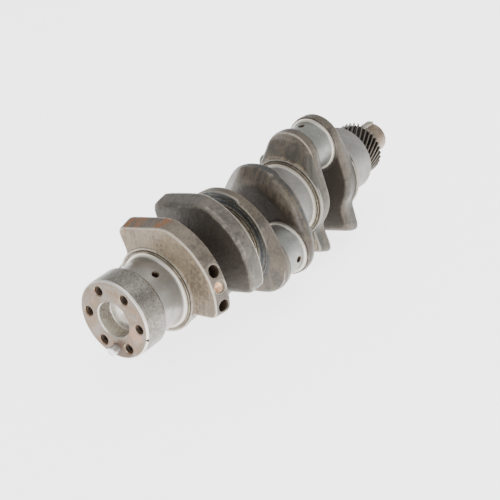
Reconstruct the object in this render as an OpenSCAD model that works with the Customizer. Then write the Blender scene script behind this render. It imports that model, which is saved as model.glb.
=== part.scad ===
// Three-throw crankshaft for a small three-cylinder engine.
// Row frame: origin at the centre of the output flange face, +X along the main axis
// towards the nose, +Z towards the last crankpin. Millimetres.

/* [Main axis] */
// Radius of the four main journals
journal_r = 31.5; // [25:0.5:40]
// Length of a main journal between its thrust collars
journal_len = 27.5; // [20:0.5:40]
// Length of the front main journal, before the gear
front_len = 31; // [20:0.5:45]
// Radius of the thrust collars beside the journals
collar_r = 36.3; // [30:0.1:45]
// Thickness of a thrust collar
collar_t = 2; // [1:0.1:4]

/* [Throws] */
// Throw of each crankpin, half the stroke
throw_r = 36; // [25:0.5:50]
// Radius of the crankpins
pin_r = 22.5; // [15:0.5:30]
// Length of each crankpin
pin_len = 25; // [18:0.5:35]
// Thickness of a whole web, collar included
web_t = 20; // [14:0.5:30]
// Radius of the lobe round each crankpin
lobe_r = 27; // [24:0.5:34]

/* [Counterweights] */
// Largest radius of the counterweights
cw_r = 65.5; // [50:0.5:75]
// Radius of the round body of the two middle webs
middle_r = 46.3; // [38:0.1:55]

/* [Output flange] */
// Radius of the output flange
flange_r = 35.5; // [30:0.5:50]
// Thickness of the output flange
flange_t = 25; // [10:0.5:40]
// Radius of the bolt circle
bolt_circle_r = 26.7; // [20:0.1:35]
// Radius of each tapped flange hole at its thread crest
bolt_r = 4.25; // [3:0.05:6]
// Depth of each tapped flange hole
bolt_depth = 19; // [10:0.5:24]
// Radius of the pilot bearing bore
pilot_r = 16; // [10:0.5:22]
// Depth of the pilot bearing bore
pilot_depth = 14; // [6:0.5:20]
// Radius of the flange dowel
dowel_r = 4; // [2.5:0.1:6]
// Length of the dowel that stands out of the flange
dowel_out = 7.5; // [3:0.5:12]

/* [Nose and gear] */
// Radius of the nose shaft
nose_r = 14; // [10:0.5:20]
// Distance from the gear's front face to the end of the nose
nose_len = 27.5; // [15:0.5:60]
// Radius of the seat under the gear
seat_r = 16; // [12:0.5:20]
// Number of teeth on the crank gear
gear_teeth = 33; // [16:1:40]
// Tip radius of the crank gear
gear_tip_r = 25.5; // [20:0.5:31]
// Width of the crank gear
gear_w = 26; // [10:0.5:35]
// Helix angle of the crank gear at its pitch circle
gear_helix = 26; // [0:1:35]

/* [Hidden] */
$fn = 96;
pitch = journal_len + 2 * web_t + pin_len;
x_journal = flange_t;
x_web1 = x_journal + journal_len;
x_pin1 = x_web1 + web_t;
x_front = x_journal + 3 * pitch;
x_gear = x_front + front_len;
x_seat_end = x_gear + gear_w;
x_end = x_seat_end + nose_len;
cheek_t = web_t - collar_t;
pin_a = [330, 210, 90];
fan_a = [120, 30, 300];
hub_r = 37.5;
gear_root_r = gear_tip_r - 3;
gear_pitch_r = gear_tip_r - 1.35;
shank_r = dowel_r - 1;
key_w = 7;
key_out = 2.4;
key_in = 3.6;
key_len = 25;
key_x = x_seat_end + 1;
key_a = 78;

// Turns a flat Y-Z drawing into a solid that grows along +X.
module along_x(x) {
  translate([x, 0, 0]) rotate([90, 0, 90]) children();
}

// A plain round section of the shaft.
module round_bar(x, len, r) {
  along_x(x) cylinder(h = len, r = r);
}

// A drilling that runs in from outside, square to the shaft.
module side_drill(x, a, from_r, depth, r) {
  translate([x, 0, 0]) rotate([a, 0, 0]) translate([0, from_r - depth, 0])
    rotate([-90, 0, 0]) cylinder(h = depth + 20, r = r);
}

module output_flange() {
  color([0.72, 0.70, 0.66]) difference() {
    union() {
      along_x(0) cylinder(h = 1.8, r1 = flange_r - 1.8, r2 = flange_r);
      round_bar(1.8, flange_t - 3.3, flange_r);
      along_x(flange_t - 1.5) cylinder(h = 1.5, r1 = flange_r, r2 = flange_r - 1.5);
    }
    along_x(-1) cylinder(h = pilot_depth + 1, r = pilot_r);
    along_x(-0.01) cylinder(h = 1.01, r1 = pilot_r + 1, r2 = pilot_r - 0.01);
    along_x(pilot_depth - 0.5) cylinder(h = 4.5, r1 = 9, r2 = 3);
    for (i = [0:5]) rotate([60 * i, 0, 0]) translate([0, bolt_circle_r, 0]) {
      along_x(-1) cylinder(h = bolt_depth + 1, r = bolt_r);
      along_x(-0.01) cylinder(h = 0.41, r1 = bolt_r + 0.4, r2 = bolt_r - 0.01);
    }
    rotate([270, 0, 0]) translate([0, bolt_circle_r, 0]) {
      along_x(-1) cylinder(h = 13, r = shank_r);
      along_x(-0.01) cylinder(h = 1.21, r1 = dowel_r + 0.21, r2 = shank_r);
    }
    rotate([193, 0, 0]) translate([0, flange_r, 0])
      rotate([0, 0, 45]) cube([3.2, 3.2, 3], center = true);
  }
}

module flange_dowel() {
  color([0.78, 0.78, 0.80]) rotate([270, 0, 0]) translate([0, bolt_circle_r, 0]) {
    along_x(-dowel_out) cylinder(h = 1, r1 = dowel_r - 1, r2 = dowel_r);
    along_x(1 - dowel_out) cylinder(h = dowel_out - 1, r = dowel_r);
    along_x(-1) cylinder(h = 13, r = shank_r);
  }
}

// One main journal with its oil hole.
module journal(i, len, oil_a) {
  x = x_journal + i * pitch;
  color([0.66, 0.67, 0.69]) difference() {
    round_bar(x, len, journal_r);
    side_drill(x + len / 2, oil_a, journal_r, 12, 2.6);
  }
}

module main_journal_1() { journal(0, journal_len, 118); }
module main_journal_2() { journal(1, journal_len, 150); }
module main_journal_3() { journal(2, journal_len, 30); }
module main_journal_4() { journal(3, front_len, 270); }

// One crankpin with its oil hole.
module crankpin(i, oil_a, oil_dx) {
  x = x_pin1 + i * pitch;
  color([0.66, 0.67, 0.69]) rotate([pin_a[i], 0, 0]) translate([0, throw_r, 0])
    rotate([-pin_a[i], 0, 0]) difference() {
      round_bar(x, pin_len, pin_r);
      side_drill(x + pin_len / 2 + oil_dx, oil_a, pin_r, 10, 2.5);
    }
}

module crankpin_1() { crankpin(0, 302, 0); }
module crankpin_2() { crankpin(1, 182, 4); }
module crankpin_3() { crankpin(2, 81, 1.5); }

module thrust_collar(x) {
  color([0.70, 0.70, 0.70]) round_bar(x, collar_t, collar_r);
}

module thrust_collar_1() { thrust_collar(x_web1); }
module thrust_collar_2() { thrust_collar(x_web1 + pitch - journal_len - collar_t); }
module thrust_collar_3() { thrust_collar(x_web1 + pitch); }
module thrust_collar_4() { thrust_collar(x_web1 + 2 * pitch - journal_len - collar_t); }
module thrust_collar_5() { thrust_collar(x_web1 + 2 * pitch); }
module thrust_collar_6() { thrust_collar(x_web1 + 3 * pitch - journal_len - collar_t); }

// Outline of the cheek: round hub, lobe round the crankpin, and straight flanks.
module cheek_2d(r) {
  c = (r - lobe_r) / throw_r;
  s = sqrt(1 - c * c);
  h = r - 0.5;
  l = lobe_r - 0.5;
  circle(r = r);
  translate([throw_r, 0]) circle(r = lobe_r);
  polygon([[h * c, h * s], [0, 0], [h * c, -h * s],
    [throw_r + l * c, -l * s], [throw_r + l * c, l * s]]);
}

// Cheek solid, journal side at z = 0, its lobe sloping back on the journal side.
module cheek(r, a) {
  rotate([0, 0, a]) intersection() {
    linear_extrude(height = cheek_t) cheek_2d(r);
    rotate([0, 0, 180]) rotate_extrude() polygon([[0, -1], [r + 1.5, -1],
      [throw_r + lobe_r - 2, 11], [throw_r + lobe_r + 2, 13],
      [throw_r + lobe_r + 2, cheek_t + 1], [0, cheek_t + 1]]);
  }
}

// Fan counterweight, journal side at z = 0. Its rim is a slight cone from rim to cw_r,
// and one end is cut off by a flat at 45 degrees, flat_d from the axis at z = 0.
// wide is how much wider its waist is.
module fan(a, rim, flat_d, flat_slope, wide) {
  rotate([0, 0, a]) difference() {
    intersection() {
      linear_extrude(height = cheek_t)
        polygon([[0, -28 - wide], [5.1, -34.3 - wide], [21.5, -55.2 - wide / 4],
          [27, -59.5], [70, -59.5], [70, 59.5], [27, 59.5],
          [21.5, 55.2 + wide / 4], [5.1, 34.3 + wide], [0, 28 + wide]]);
      rotate([0, 0, 180]) rotate_extrude() polygon([[0, 0.2], [34, 0.2],
        [rim - 1, 0.6], [rim, 1.8], [cw_r, 14.5], [cw_r - 2.6, cheek_t + 0.6], [0, cheek_t + 0.6]]);
    }
    rotate([0, 0, -45]) translate([flat_d, 0, 0]) rotate([0, atan(flat_slope), 0])
      translate([0, -80, -30]) cube([60, 160, 90]);
  }
}

// Round body of a middle web with its squared end, both sloping back on the crankpin side.
module middle_body(a) {
  rotate([0, 0, a]) difference() {
    intersection() {
      linear_extrude(height = cheek_t) union() {
        circle(r = middle_r);
        intersection() {
          circle(r = middle_r + 2);
          translate([8, -60]) square([44, 120]);
        }
      }
      rotate([0, 0, 180]) rotate_extrude() polygon([[0, 0.2], [middle_r - 2.4, 0.2],
        [middle_r + 2.3, 1.6], [middle_r + 2.3, 10], [middle_r - 6, cheek_t + 0.4],
        [0, cheek_t + 0.4]]);
    }
    translate([44.5, 0, 4]) rotate([0, -43, 0]) translate([0, -70, -10])
      cube([40, 140, 60]);
  }
}

// A web is drawn with its journal side at z = 0 and turned round for the even webs.
module place_web(i) {
  odd = i % 2;
  x = x_web1 + floor((i - 1) / 2) * pitch;
  if (odd == 1) along_x(x + collar_t) children();
  else translate([x + 2 * web_t + pin_len - collar_t, 0, 0]) mirror([1, 0, 0])
    rotate([90, 0, 90]) children();
}

module outer_web(i, rim, flat_d, flat_slope, wide) {
  j = floor((i - 1) / 2);
  color([0.50, 0.46, 0.40]) place_web(i) union() {
    cheek(hub_r, pin_a[j]);
    fan(fan_a[j], rim, flat_d, flat_slope, wide);
  }
}

module middle_web(i) {
  color([0.42, 0.41, 0.39]) place_web(i) union() {
    cheek(hub_r + 1, pin_a[1]);
    rotate([0, 0, pin_a[1]]) intersection() {
      linear_extrude(height = 9.6) cheek_2d(middle_r - 0.8);
      rotate([0, 0, 180]) rotate_extrude() polygon([[0, 0.3], [46, 0.3],
        [throw_r + lobe_r - 2.4, 10.6], [0, 10.6]]);
    }
    middle_body(fan_a[1]);
  }
}

module web_1() {
  difference() {
    outer_web(1, 62.6, 56.2, 0.24, 0);
    side_drill(63.5, 151, cw_r, 14, 5.3);
    side_drill(63, 179, cw_r, 14, 5.3);
    translate([62, 0, 0]) rotate([163.5, 0, 0]) translate([0, cw_r - 4, 0])
      rotate([-90, 0, 0]) cylinder(h = 6, r1 = 0.5, r2 = 7);
  }
}
module web_2() { outer_web(2, 64.6, 61, -0.23, 4); }
module web_3() { middle_web(3); }
module web_4() { middle_web(4); }
module web_5() { outer_web(5, 62.6, 54, 0.4, 0); }
module web_6() { outer_web(6, 62.6, 61, -0.44, 4); }

module nose_shaft() {
  color([0.60, 0.55, 0.47]) difference() {
    union() {
      round_bar(x_gear, gear_w, seat_r);
      round_bar(x_seat_end, nose_len - 1.5, nose_r);
      along_x(x_end - 1.5) cylinder(h = 1.5, r1 = nose_r, r2 = nose_r - 1.5);
    }
    rotate([key_a, 0, 0]) translate([key_x, nose_r - key_in, -key_w / 2])
      cube([key_len, 20, key_w]);
    along_x(x_end - 26) cylinder(h = 30, r = 5.1);
    along_x(x_end - 1.2) cylinder(h = 1.21, r1 = 5.09, r2 = 6.4);
  }
}

module nose_key() {
  color([0.55, 0.53, 0.50]) rotate([key_a, 0, 0])
    translate([key_x, nose_r - key_in, -key_w / 2])
      cube([key_len, key_in + key_out, key_w]);
}

// Points of one gear tooth and the gap after it.
function tooth(i) = let (a = 360 / gear_teeth, b = i * a) [
  for (p = [[gear_root_r, -0.30], [gear_pitch_r, -0.235], [gear_tip_r - 0.3, -0.13],
    [gear_tip_r, -0.09], [gear_tip_r, 0.09], [gear_tip_r - 0.3, 0.13],
    [gear_pitch_r, 0.235], [gear_root_r, 0.30]])
    [p[0] * cos(b + p[1] * a), p[0] * sin(b + p[1] * a)]];

module crank_gear() {
  turn = gear_w * tan(gear_helix) / gear_pitch_r * 180 / PI;
  color([0.20, 0.18, 0.16]) difference() {
    along_x(x_gear) linear_extrude(height = gear_w, twist = turn, slices = 8)
      polygon([for (i = [0:gear_teeth - 1]) for (p = tooth(i)) p]);
    along_x(x_gear - 1) cylinder(h = gear_w + 2, r = seat_r);
  }
}

output_flange();
flange_dowel();
main_journal_1();
main_journal_2();
main_journal_3();
main_journal_4();
thrust_collar_1();
thrust_collar_2();
thrust_collar_3();
thrust_collar_4();
thrust_collar_5();
thrust_collar_6();
web_1();
web_2();
web_3();
web_4();
web_5();
web_6();
crankpin_1();
crankpin_2();
crankpin_3();
nose_shaft();
nose_key();
crank_gear();
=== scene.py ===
import math

import bmesh
import bpy
import numpy as np
from mathutils import Matrix, Vector


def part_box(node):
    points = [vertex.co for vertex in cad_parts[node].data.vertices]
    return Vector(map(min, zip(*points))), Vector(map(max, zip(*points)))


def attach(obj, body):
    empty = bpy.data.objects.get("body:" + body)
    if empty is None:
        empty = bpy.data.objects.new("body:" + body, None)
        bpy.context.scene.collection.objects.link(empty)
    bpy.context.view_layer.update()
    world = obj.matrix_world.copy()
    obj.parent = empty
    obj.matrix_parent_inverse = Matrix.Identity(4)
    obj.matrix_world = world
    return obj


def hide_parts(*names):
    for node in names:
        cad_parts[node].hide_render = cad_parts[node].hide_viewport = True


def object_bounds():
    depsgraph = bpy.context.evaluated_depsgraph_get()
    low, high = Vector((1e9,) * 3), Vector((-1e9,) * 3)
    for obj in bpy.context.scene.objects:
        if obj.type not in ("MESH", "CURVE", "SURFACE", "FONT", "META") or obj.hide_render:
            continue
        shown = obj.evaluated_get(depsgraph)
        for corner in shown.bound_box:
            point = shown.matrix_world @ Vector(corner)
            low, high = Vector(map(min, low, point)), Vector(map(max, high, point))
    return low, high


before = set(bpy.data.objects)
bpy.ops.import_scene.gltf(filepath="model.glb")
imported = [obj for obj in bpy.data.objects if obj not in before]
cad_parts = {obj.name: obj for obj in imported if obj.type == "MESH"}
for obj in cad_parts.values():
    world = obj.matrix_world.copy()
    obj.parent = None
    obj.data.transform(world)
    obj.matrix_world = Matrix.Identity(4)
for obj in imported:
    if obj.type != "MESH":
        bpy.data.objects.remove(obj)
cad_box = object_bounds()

# Sizes are worked in millimetres and turned into metres when a mesh is made.
MM = 0.001
PIN_ANGLES = {1: 330, 2: 210, 3: 90}      # from +Y towards +Z
FAN_ANGLES = {1: 120, 2: 120, 3: 30, 4: 30, 5: 300, 6: 300}


def extent(node):
    """Lowest and highest corner of a CAD node, in millimetres."""
    low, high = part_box(node)
    return low / MM, high / MM


def radius_of(node):
    low, high = extent(node)
    return (high.y - low.y) / 2


def middle_of(node):
    low, high = extent(node)
    return (low + high) / 2


JOURNAL_R = radius_of("main_journal_1")
COLLAR_R = radius_of("thrust_collar_1")
PIN_R = radius_of("crankpin_1")
FLANGE_R = radius_of("output_flange")
GEAR_R = radius_of("crank_gear")
SEAT_R = radius_of("nose_shaft")
THROW = middle_of("crankpin_3").z
WEB_T = extent("web_1")[1].x - extent("web_1")[0].x
BOLT_CIRCLE_R = 26.7
BOLT_R = 4.25
PILOT_R = 16.0
PILOT_DEPTH = 14.0
NOSE_R = 14.0
KEY_ANGLE = 78
KEY_HALF = 3.5
KEY_BOTTOM = NOSE_R - 3.6
KEY_TOP = NOSE_R + 2.4
JOURNAL_FILLET = 2.8
PIN_FILLET = 2.6
OIL_HOLE_R = 2.6
PIN_OIL_HOLE_R = 2.5
DOWEL_ANGLE = 270
DOWEL_R = 4.0
TEETH = 33
TOOTH_DEPTH = 3.0
HELIX_ANGLE = 26
THREAD_PITCH = 1.5
THREAD_TURNS = 9


def on_circle(x, angle, radius, centre=(0.0, 0.0)):
    a = math.radians(angle)
    return Vector((x, centre[0] + radius * math.cos(a), centre[1] + radius * math.sin(a)))


# ---------------------------------------------------------------- stage

def set_camera():
    """Long lens looking down on the flange end, turned with the crank about its main axis."""
    pan, tilt, roll = math.radians(36.65), math.radians(32.69), math.radians(4)
    turn = Matrix.Rotation(roll, 3, "X")
    forward = Vector((math.cos(tilt) * math.cos(pan), math.cos(tilt) * math.sin(pan), -math.sin(tilt)))
    right = Vector((math.sin(pan), -math.cos(pan), 0))
    up = right.cross(forward)
    place = Vector((-27.06, -25.25, 26.12)) * BOLT_CIRCLE_R * MM
    data = bpy.data.cameras.new("camera")
    data.lens = 108
    data.sensor_width = 36
    data.clip_start = 0.05
    data.clip_end = 20
    camera = bpy.data.objects.new("camera", data)
    bpy.context.scene.collection.objects.link(camera)
    axes = Matrix((turn @ right, turn @ up, turn @ -forward)).transposed()
    camera.matrix_world = Matrix.Translation(turn @ place) @ axes.to_4x4()
    bpy.context.scene.camera = camera


def add_soft_light(name, place, aim, size, power):
    data = bpy.data.lights.new(name, "AREA")
    data.shape = "RECTANGLE"
    data.size, data.size_y = size
    data.energy = power
    lamp = bpy.data.objects.new(name, data)
    lamp.location = place
    lamp.rotation_euler = (Vector(aim) - Vector(place)).to_track_quat("-Z", "Y").to_euler()
    bpy.context.scene.collection.objects.link(lamp)


def set_light():
    aim = (0.19, 0, 0)
    add_soft_light("overhead_softbox", (0.25, -0.15, 1.30), aim, (1.4, 1.0), 9)
    add_soft_light("front_fill", (-1.30, -0.55, 0.55), aim, (1.0, 1.0), 9)
    add_soft_light("side_strip", (0.45, -1.35, 0.45), aim, (1.2, 0.35), 7)
    world = bpy.data.worlds.new("studio")
    bpy.context.scene.world = world
    world.use_nodes = True
    background = world.node_tree.nodes["Background"]
    background.inputs["Color"].default_value = (0.98, 0.99, 1.0, 1)
    background.inputs["Strength"].default_value = 0.85


def add_floor(height):
    """White sweep that gives off a little light of its own, so it stays pale under the part."""
    mesh = bpy.data.meshes.new("floor")
    half = 6.0
    mesh.from_pydata([(-half, -half, height), (half, -half, height), (half, half, height),
                      (-half, half, height)], [], [(0, 1, 2, 3)])
    floor = bpy.data.objects.new("floor", mesh)
    bpy.context.scene.collection.objects.link(floor)
    pale = bpy.data.materials.new("pale_floor")
    pale.use_nodes = True
    shader = pale.node_tree.nodes["Principled BSDF"]
    shader.inputs["Base Color"].default_value = (0.95, 0.95, 0.95, 1)
    shader.inputs["Roughness"].default_value = 0.9
    shader.inputs["Emission Color"].default_value = (1, 1, 1, 1)
    shader.inputs["Emission Strength"].default_value = 2.6
    mesh.materials.append(pale)


# ---------------------------------------------------------------- shader groups

def new_group(name, inputs, *outputs):
    """An empty shader group of plain numbers: inputs are {name: default}, outputs are names."""
    tree = bpy.data.node_groups.new(name, "ShaderNodeTree")
    for label, value in inputs.items():
        socket = tree.interface.new_socket(label, in_out="INPUT", socket_type="NodeSocketFloat")
        socket.default_value = value
    for label in outputs:
        tree.interface.new_socket(label, in_out="OUTPUT", socket_type="NodeSocketFloat")
    return tree, tree.nodes.new("NodeGroupInput").outputs, tree.nodes.new("NodeGroupOutput").inputs


def feed(tree, socket, value):
    """Links a socket to another, or sets a plain value on it; a colour is given as red, green, blue."""
    if isinstance(value, bpy.types.NodeSocket):
        tree.links.new(value, socket)
    elif socket.type == "RGBA":
        socket.default_value = (*value, 1)
    else:
        socket.default_value = value


def math_node(tree, operation, *values, clamp=False):
    node = tree.nodes.new("ShaderNodeMath")
    node.operation = operation
    node.use_clamp = clamp
    for socket, value in zip(node.inputs, values):
        feed(tree, socket, value)
    return node.outputs[0]


def vector_math(tree, operation, *values):
    node = tree.nodes.new("ShaderNodeVectorMath")
    node.operation = operation
    for socket, value in zip(node.inputs, values):
        feed(tree, socket, value)
    return node.outputs


def times(tree, a, b):
    return math_node(tree, "MULTIPLY", a, b)


def plus(tree, a, b, clamp=False):
    return math_node(tree, "ADD", a, b, clamp=clamp)


def minus(tree, a, b, clamp=False):
    return math_node(tree, "SUBTRACT", a, b, clamp=clamp)


def larger(tree, a, b):
    return math_node(tree, "MAXIMUM", a, b)


def ragged(tree, value, noise, amount, middle=0.5):
    """The value, shifted up and down by a noise about its middle."""
    return plus(tree, value, times(tree, minus(tree, noise, middle), amount))


def step_node(tree, value, low, high):
    """0 below low, 1 above high, smooth between."""
    node = tree.nodes.new("ShaderNodeMapRange")
    node.interpolation_type = "SMOOTHSTEP"
    feed(tree, node.inputs["Value"], value)
    feed(tree, node.inputs["From Min"], low)
    feed(tree, node.inputs["From Max"], high)
    return node.outputs["Result"]


def stretched_place(tree, scale=(1, 1, 1), shift=(0, 0, 0)):
    place = tree.nodes.new("ShaderNodeTexCoord")
    mapping = tree.nodes.new("ShaderNodeMapping")
    mapping.inputs["Scale"].default_value = scale
    mapping.inputs["Location"].default_value = shift
    tree.links.new(place.outputs["Object"], mapping.inputs["Vector"])
    return mapping.outputs["Vector"]


def noise_node(tree, vector, scale, detail=4.0, roughness=0.55, distortion=0.0):
    node = tree.nodes.new("ShaderNodeTexNoise")
    feed(tree, node.inputs["Vector"], vector)
    feed(tree, node.inputs["Scale"], scale)
    feed(tree, node.inputs["Detail"], detail)
    feed(tree, node.inputs["Roughness"], roughness)
    feed(tree, node.inputs["Distortion"], distortion)
    return node.outputs["Fac"]


def mix_colour(tree, factor, first, second, blend="MIX"):
    node = tree.nodes.new("ShaderNodeMix")
    node.data_type = "RGBA"
    node.blend_type = blend
    feed(tree, node.inputs["Factor"], factor)
    colours = [s for s in node.inputs if s.type == "RGBA"]
    feed(tree, colours[0], first)
    feed(tree, colours[1], second)
    return [s for s in node.outputs if s.type == "RGBA"][0]


def tint(tree, colour, other, mask, share):
    """The colour, taken part of the way to another where the mask says so."""
    return mix_colour(tree, times(tree, mask, share), colour, other)


def paint(tree, shader, colour, rough, metal=None):
    tree.links.new(colour, shader.inputs["Base Color"])
    tree.links.new(rough, shader.inputs["Roughness"])
    if metal:
        tree.links.new(metal, shader.inputs["Metallic"])


def attribute(tree, name):
    node = tree.nodes.new("ShaderNodeAttribute")
    node.attribute_name = name
    return node.outputs["Fac"]


def make_mottle_group():
    """Cloudy patches with a finer break-up inside them."""
    inputs = {"Scale": 60.0, "Low": 0.4, "High": 0.62, "Grain": 0.35}
    tree, given, result = new_group("mottle", inputs, "Mask")
    place = stretched_place(tree)
    broad = noise_node(tree, place, given["Scale"], 3.0, 0.5, 0.6)
    fine = noise_node(tree, place, times(tree, given["Scale"], 7.0), 5.0, 0.6)
    mask = step_node(tree, ragged(tree, broad, fine, given["Grain"]), given["Low"], given["High"])
    tree.links.new(mask, result["Mask"])
    return tree


def make_rust_group():
    """Scattered rust bloom: broad patches that break into specks at their rims."""
    tree, given, result = new_group("rust_bloom", {"Scale": 90.0, "Spread": 0.5}, "Mask", "Tint")
    place = stretched_place(tree, shift=(0.31, 0.17, 0.05))
    patch = noise_node(tree, place, given["Scale"], 2.0, 0.5, 0.8)
    speck = noise_node(tree, place, times(tree, given["Scale"], 9.0), 4.0, 0.65)
    total = plus(tree, times(tree, patch, 0.72), times(tree, speck, 0.28))
    edge = minus(tree, 0.78, times(tree, given["Spread"], 0.36))
    mask = step_node(tree, total, edge, plus(tree, edge, 0.075))
    tree.links.new(mask, result["Mask"])
    tree.links.new(speck, result["Tint"])
    return tree


def make_grit_group():
    """Shot-blasted forging skin: shallow dents with fine grit, as a height."""
    tree, given, result = new_group("forged_grit", {"Dent Scale": 420.0, "Grit Scale": 1500.0}, "Height")
    place = stretched_place(tree)
    dents = tree.nodes.new("ShaderNodeTexVoronoi")
    dents.feature = "SMOOTH_F1"
    tree.links.new(place, dents.inputs["Vector"])
    tree.links.new(given["Dent Scale"], dents.inputs["Scale"])
    grit = noise_node(tree, place, given["Grit Scale"], 3.0, 0.6)
    broad = noise_node(tree, place, 110.0, 2.0, 0.5)
    height = plus(tree, times(tree, dents.outputs["Distance"], 0.5),
                       plus(tree, times(tree, grit, 0.35),
                                 times(tree, broad, 0.9)))
    tree.links.new(height, result["Height"])
    return tree


def make_grinding_group():
    """Grinding lines that run round the shaft: long round it, very fine along it."""
    tree, given, result = new_group("grinding_lines", {"Fineness": 1.0}, "Height", "Streak")
    fine = noise_node(tree, stretched_place(tree, (5200, 60, 60)), given["Fineness"], 2.0, 0.6)
    streak = noise_node(tree, stretched_place(tree, (420, 14, 14)), given["Fineness"], 3.0, 0.5)
    tree.links.new(fine, result["Height"])
    tree.links.new(streak, result["Streak"])
    return tree


def make_turning_group():
    """Tool rings on a face that is square to the main axis."""
    tree, given, result = new_group("turning_rings", {"Fineness": 2600.0}, "Height", "Radius")
    place = tree.nodes.new("ShaderNodeTexCoord")
    flat = vector_math(tree, "MULTIPLY", place.outputs["Object"], (0, 1, 1))["Vector"]
    radius = vector_math(tree, "LENGTH", flat)["Value"]
    ring = tree.nodes.new("ShaderNodeTexNoise")
    ring.noise_dimensions = "1D"
    ring.inputs["Scale"].default_value = 1.0
    ring.inputs["Detail"].default_value = 2.0
    tree.links.new(times(tree, radius, given["Fineness"]), ring.inputs["W"])
    tree.links.new(ring.outputs["Fac"], result["Height"])
    tree.links.new(radius, result["Radius"])
    return tree


def make_wear_and_highlight_group():
    """Bright rubbed edges that also carry a painted highlight, taken from the piece's own edge attribute
    and broken up.
    """
    tree, given, result = new_group("edge_wear_and_highlight", {"Amount": 1.0, "Break Up": 0.5}, "Mask")
    noise = noise_node(tree, stretched_place(tree), 260.0, 4.0, 0.6)
    edge = ragged(tree, attribute(tree, "edge"), noise, given["Break Up"])
    mask = times(tree, step_node(tree, edge, 0.3, 0.85), given["Amount"])
    tree.links.new(mask, result["Mask"])
    return tree


def make_spot_group():
    """1 at a point of the piece, falling to 0 at the given reach, with a ragged rim."""
    tree, given, result = new_group("spot", {"Y": 0.0, "Z": 0.0, "Reach": 0.01, "Ragged": 0.5}, "Mask")
    centre = tree.nodes.new("ShaderNodeCombineXYZ")
    tree.links.new(given["Y"], centre.inputs["Y"])
    tree.links.new(given["Z"], centre.inputs["Z"])
    away = vector_math(tree, "DISTANCE", stretched_place(tree), centre.outputs["Vector"])["Value"]
    share = math_node(tree, "DIVIDE", away, given["Reach"])
    noise = noise_node(tree, stretched_place(tree), 420.0, 4.0, 0.65)
    share = ragged(tree, share, noise, given["Ragged"])
    mask = minus(tree, 1.0, step_node(tree, share, 0.55, 1.0))
    tree.links.new(mask, result["Mask"])
    return tree


def make_streak_group():
    """Faint drag marks and dribbles that run one way across a face."""
    tree, given, result = new_group("drag_marks", {"Low": 0.42, "High": 0.66}, "Mask")
    coarse = noise_node(tree, stretched_place(tree, (60, 230, 26)), 1.0, 3.0, 0.6)
    fine = noise_node(tree, stretched_place(tree, (300, 900, 60)), 1.0, 3.0, 0.6)
    both = plus(tree, times(tree, coarse, 0.6), times(tree, fine, 0.4))
    mask = step_node(tree, both, given["Low"], given["High"])
    tree.links.new(mask, result["Mask"])
    return tree


GROUPS = {"spot": make_spot_group(), "streaks": make_streak_group(), "mottle": make_mottle_group(),
          "rust": make_rust_group(), "grit": make_grit_group(), "grinding": make_grinding_group(),
          "turning": make_turning_group(), "wear_and_highlight": make_wear_and_highlight_group()}


def use_group(tree, name, **values):
    node = tree.nodes.new("ShaderNodeGroup")
    node.node_tree = GROUPS[name]
    for label, value in values.items():
        feed(tree, node.inputs[label.replace("_", " ")], value)
    return node.outputs


def mottle(tree, scale, low, high, grain):
    return use_group(tree, "mottle", Scale=scale, Low=low, High=high, Grain=grain)["Mask"]


def spot_mask(tree, place, reach, raggedness):
    return use_group(tree, "spot", Y=place.y, Z=place.z, Reach=reach, Ragged=raggedness)["Mask"]


def new_finish(name, metallic, roughness, specular=0.5):
    material = bpy.data.materials.new(name)
    material.use_nodes = True
    shader = material.node_tree.nodes["Principled BSDF"]
    shader.inputs["Metallic"].default_value = metallic
    shader.inputs["Roughness"].default_value = roughness
    shader.inputs["Specular IOR Level"].default_value = specular
    return material, material.node_tree, shader


def bump(tree, shader, height, distance, strength):
    node = tree.nodes.new("ShaderNodeBump")
    node.inputs["Distance"].default_value = distance
    node.inputs["Strength"].default_value = strength
    feed(tree, node.inputs["Height"], height)
    tree.links.new(node.outputs["Normal"], shader.inputs["Normal"])


# ---------------------------------------------------------------- finishes

def ground_finish(name, light, dark, stain, roughness, metallic, shift):
    """Ground journal steel: even matte grey, fine round-running lines, faint oil film, and a painted
    highlight on the fillets.
    """
    material, tree, shader = new_finish(name, metallic, roughness, 0.4)
    lines = use_group(tree, "grinding", Fineness=1.0)
    cloud = mottle(tree, 38.0, 0.30, 0.72, 0.8)
    blotch = mottle(tree, 95.0 + shift, 0.46, 0.70, 0.9)
    grain = mottle(tree, 520.0, 0.40, 0.66, 0.6)
    colour = mix_colour(tree, cloud, light, dark)
    colour = tint(tree, colour, stain, blotch, 0.3)
    colour = tint(tree, colour, dark, lines["Streak"], 0.2)
    colour = tint(tree, colour, dark, grain, 0.18)
    # Painted highlight: where the surface turns to face along the axis, in the fillets, the colour is made
    # lighter.
    outward = tree.nodes.new("ShaderNodeSeparateXYZ")
    tree.links.new(tree.nodes.new("ShaderNodeTexCoord").outputs["Normal"], outward.inputs["Vector"])
    fillet = step_node(tree, math_node(tree, "ABSOLUTE", outward.outputs["X"]), 0.25, 0.8)
    colour = tint(tree, colour, (0.72, 0.66, 0.56), fillet, 0.65)
    rough = plus(tree, roughness - 0.03, times(tree, cloud, 0.06))
    paint(tree, shader, colour, rough)
    bump(tree, shader, lines["Height"], 0.00003, 0.25)
    return material


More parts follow.
